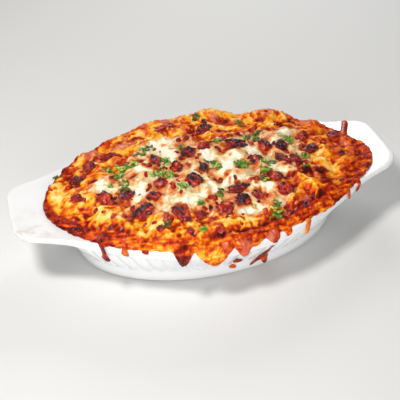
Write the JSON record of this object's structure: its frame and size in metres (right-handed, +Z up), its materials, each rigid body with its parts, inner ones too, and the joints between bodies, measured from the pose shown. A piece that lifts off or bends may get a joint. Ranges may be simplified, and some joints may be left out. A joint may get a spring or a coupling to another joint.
{
  "type": "baked pasta in a gratin dish",
  "caption": "Oval fluted gratin dish with two flat ears, heaped with baked pasta under melted cheese, browned meat pieces and a crust that runs over the lip.",
  "frame": {"origin": "on the table under the middle of the dish, at the foot ring's level", "axes": "+X along the dish from ear to ear, +Y across it, +Z up"},
  "size_m": [0.301, 0.1726, 0.0694],
  "materials": {
    "dish_glaze": "white gloss glaze",
    "baked_crust": "oily orange-brown baked crust",
    "melted_cheese": "glossy melted cheese",
    "browned_meat": "glossy dark browned meat",
    "parsley": "chopped parsley"
  },
  "bodies": {
    "root": {"gratin_dish": "dish_glaze", "pasta_bake": "baked_crust", "melted_cheese": "melted_cheese", "meat_piece_01": "browned_meat", "meat_piece_02": "browned_meat", "meat_piece_03": "browned_meat", "meat_piece_04": "browned_meat", "meat_piece_05": "browned_meat", "meat_piece_06": "browned_meat", "meat_piece_07": "browned_meat", "meat_piece_08": "browned_meat", "meat_piece_09": "browned_meat", "meat_piece_10": "browned_meat", "meat_piece_11": "browned_meat", "meat_piece_12": "browned_meat", "meat_piece_13": "browned_meat", "meat_piece_14": "browned_meat", "meat_piece_15": "browned_meat", "meat_piece_16": "browned_meat", "meat_piece_17": "browned_meat", "meat_piece_18": "browned_meat", "meat_piece_19": "browned_meat", "meat_piece_20": "browned_meat", "meat_piece_21": "browned_meat", "meat_piece_22": "browned_meat", "meat_piece_23": "browned_meat", "meat_piece_24": "browned_meat", "meat_piece_25": "browned_meat", "meat_piece_26": "browned_meat", "meat_piece_27": "browned_meat", "meat_piece_28": "browned_meat", "meat_piece_29": "browned_meat", "meat_piece_30": "browned_meat", "meat_piece_31": "browned_meat", "meat_piece_32": "browned_meat", "meat_piece_33": "browned_meat"}
  },
  "joints": []
}
